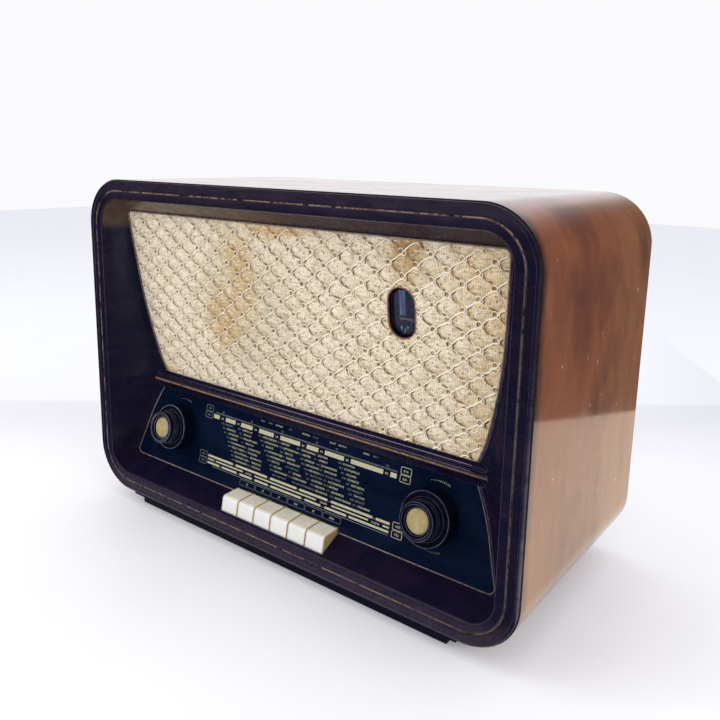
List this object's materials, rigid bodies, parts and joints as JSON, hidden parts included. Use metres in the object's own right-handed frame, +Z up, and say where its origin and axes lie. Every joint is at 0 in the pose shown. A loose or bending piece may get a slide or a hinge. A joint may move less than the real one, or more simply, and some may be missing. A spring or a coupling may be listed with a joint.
{
  "type": "bakelite table radio",
  "caption": "Table radio: bent veneered cabinet, moulded splayed front, cloth grille with tuning eye, leaning dial, two concentric knob pairs, piano keys.",
  "frame": {"origin": "middle of the footprint at the surface it stands on", "axes": "+X to the right seen from the front, +Y to the back, +Z up; the dial faces -Y"},
  "size_m": [0.56, 0.262, 0.385],
  "materials": {
    "walnut_veneer": "glossy varnished walnut veneer with an upright grain",
    "bakelite": "dark aubergine-brown moulded phenolic, polished",
    "gold_line": "dull gold inlaid line",
    "plywood": "raw plywood",
    "grille_cloth": "cream woven loudspeaker cloth with a looped net pattern",
    "dial_black": "black-backed glass with cream print",
    "copper_trim": "dull copper line",
    "plate_paint": "pale enamel",
    "pointer_paint": "red enamel",
    "knob_brown": "dark moulded phenolic",
    "cap_cream": "aged cream-gold disc",
    "key_ivory": "ivory moulding",
    "steel": "plain steel",
    "chassis_zinc": "zinc plated sheet",
    "valve_glass": "clear glass envelope",
    "eye_glass": "smoked glass envelope",
    "socket_black": "moulded phenolic",
    "transformer_iron": "varnished laminations",
    "can_aluminium": "drawn aluminium can",
    "cone_paper": "black pulp paper",
    "ferrite": "ferrite with waxed coils",
    "hardboard": "brown pressed hardboard",
    "plinth_black": "black stained hardwood",
    "felt": "pressed felt",
    "screw_brass": "plated screw",
    "rubber": "soft grommet",
    "strip_paxolin": "phenolic board"
  },
  "bodies": {
    "cabinet": {"cabinet_wrap": "walnut_veneer", "front_surround": "bakelite", "gold_inlay": "gold_line", "waist_rail": "bakelite", "waist_inlay": "gold_line", "grille_trim": "copper_trim", "dial_trim": "copper_trim", "baffle_board": "plywood", "grille_cloth": "grille_cloth", "eye_sleeve_trim": "copper_trim", "eye_valve": "eye_glass", "eye_holder": "chassis_zinc", "speaker_basket": "steel", "speaker_cone": "cone_paper", "speaker_magnet": "transformer_iron", "dial_glass": "dial_black", "dial_backplate": "plate_paint", "pointer_rods": "steel", "dial_lamps": "steel", "volume_control": "can_aluminium", "tuning_bearing": "can_aluminium", "key_pivot_rod": "steel", "key_bank_frame": "chassis_zinc", "chassis": "chassis_zinc", "chassis_bolts": "steel", "valve_sockets": "socket_black", "small_valves": "valve_glass", "power_valves": "valve_glass", "power_transformer": "transformer_iron", "output_transformer": "transformer_iron", "smoothing_capacitor": "can_aluminium", "if_cans": "can_aluminium", "fm_tuner_box": "can_aluminium", "ferrite_aerial": "ferrite", "socket_strip": "strip_paxolin", "tuning_gang_frame": "steel", "back_panel": "hardboard", "back_cleats": "plywood", "back_screws": "screw_brass", "cord_gland": "rubber", "plinth": "plinth_black", "felt_pads": "felt"},
    "volume_control_turn": {"volume_knob": "knob_brown", "volume_cap": "cap_cream", "volume_shaft": "steel"},
    "tone_control_turn": {"tone_ring": "knob_brown"},
    "tuning_spindle": {"tuning_knob": "knob_brown", "tuning_cap": "cap_cream", "tuning_shaft": "steel"},
    "fm_spindle": {"fm_ring": "knob_brown"},
    "am_carriage": {"am_pointer": "pointer_paint"},
    "fm_carriage": {"fm_pointer": "pointer_paint"},
    "gang_rotor": {"tuning_rotor": "can_aluminium", "drive_drum": "steel"},
    "key_lever_1": {"key_1": "key_ivory"},
    "key_lever_2": {"key_2": "key_ivory"},
    "key_lever_3": {"key_3": "key_ivory"},
    "key_lever_4": {"key_4": "key_ivory"},
    "key_lever_5": {"key_5": "key_ivory"},
    "key_lever_6": {"key_6": "key_ivory"}
  },
  "joints": [
    {"name": "volume_turn", "type": "hinge", "parent": "cabinet", "child": "volume_control_turn", "pos_m": [-0.1753, -0.09164, 0.09792], "axis": [0, 0.9758, -0.2188], "range_deg": [0, 280]},
    {"name": "tone_turn", "type": "hinge", "parent": "cabinet", "child": "tone_control_turn", "pos_m": [-0.1753, -0.09164, 0.09792], "axis": [0, 0.9758, -0.2188], "range_deg": [0, 270]},
    {"name": "tuning_turn", "type": "hinge", "parent": "cabinet", "child": "tuning_spindle", "pos_m": [0.1753, -0.09164, 0.09792], "axis": [0, 0.9758, -0.2188], "range_deg": [0, 1080]},
    {"name": "fm_turn", "type": "hinge", "parent": "cabinet", "child": "fm_spindle", "pos_m": [0.1753, -0.09164, 0.09792], "axis": [0, 0.9758, -0.2188], "range_deg": [0, 720]},
    {"name": "am_pointer_slide", "type": "slide", "parent": "cabinet", "child": "am_carriage", "axis": [1, 0, 0], "range_m": [0, 0.292]},
    {"name": "fm_pointer_slide", "type": "slide", "parent": "cabinet", "child": "fm_carriage", "axis": [1, 0, 0], "range_m": [0, 0.292]},
    {"name": "gang_turn", "type": "hinge", "parent": "cabinet", "child": "gang_rotor", "pos_m": [0.085, -0.029, 0.103], "axis": [0, 1, 0], "range_deg": [0, 180]},
    {"name": "key_1_press", "type": "hinge", "parent": "cabinet", "child": "key_lever_1", "pos_m": [-0.05825, -0.049, 0.045], "axis": [1, 0, 0], "range_deg": [0, 4], "stiffness_Nm_per_rad": 0.6, "springref_deg": -6.88},
    {"name": "key_2_press", "type": "hinge", "parent": "cabinet", "child": "key_lever_2", "pos_m": [-0.03435, -0.049, 0.045], "axis": [1, 0, 0], "range_deg": [0, 4], "stiffness_Nm_per_rad": 0.6, "springref_deg": -6.88},
    {"name": "key_3_press", "type": "hinge", "parent": "cabinet", "child": "key_lever_3", "pos_m": [-0.01045, -0.049, 0.045], "axis": [1, 0, 0], "range_deg": [0, 4], "stiffness_Nm_per_rad": 0.6, "springref_deg": -6.88},
    {"name": "key_4_press", "type": "hinge", "parent": "cabinet", "child": "key_lever_4", "pos_m": [0.01345, -0.049, 0.045], "axis": [1, 0, 0], "range_deg": [0, 4], "stiffness_Nm_per_rad": 0.6, "springref_deg": -6.88},
    {"name": "key_5_press", "type": "hinge", "parent": "cabinet", "child": "key_lever_5", "pos_m": [0.03735, -0.049, 0.045], "axis": [1, 0, 0], "range_deg": [0, 4], "stiffness_Nm_per_rad": 0.6, "springref_deg": -6.88},
    {"name": "key_6_press", "type": "hinge", "parent": "cabinet", "child": "key_lever_6", "pos_m": [0.06125, -0.049, 0.045], "axis": [1, 0, 0], "range_deg": [0, 4], "stiffness_Nm_per_rad": 0.6, "springref_deg": -6.88}
  ],
  "couplings": [
    {"joint": "am_pointer_slide", "follows": "tuning_turn", "m_per_rad": 0.015491},
    {"joint": "gang_turn", "follows": "tuning_turn", "ratio": 0.16667},
    {"joint": "fm_pointer_slide", "follows": "fm_turn", "m_per_rad": 0.023237}
  ]
}
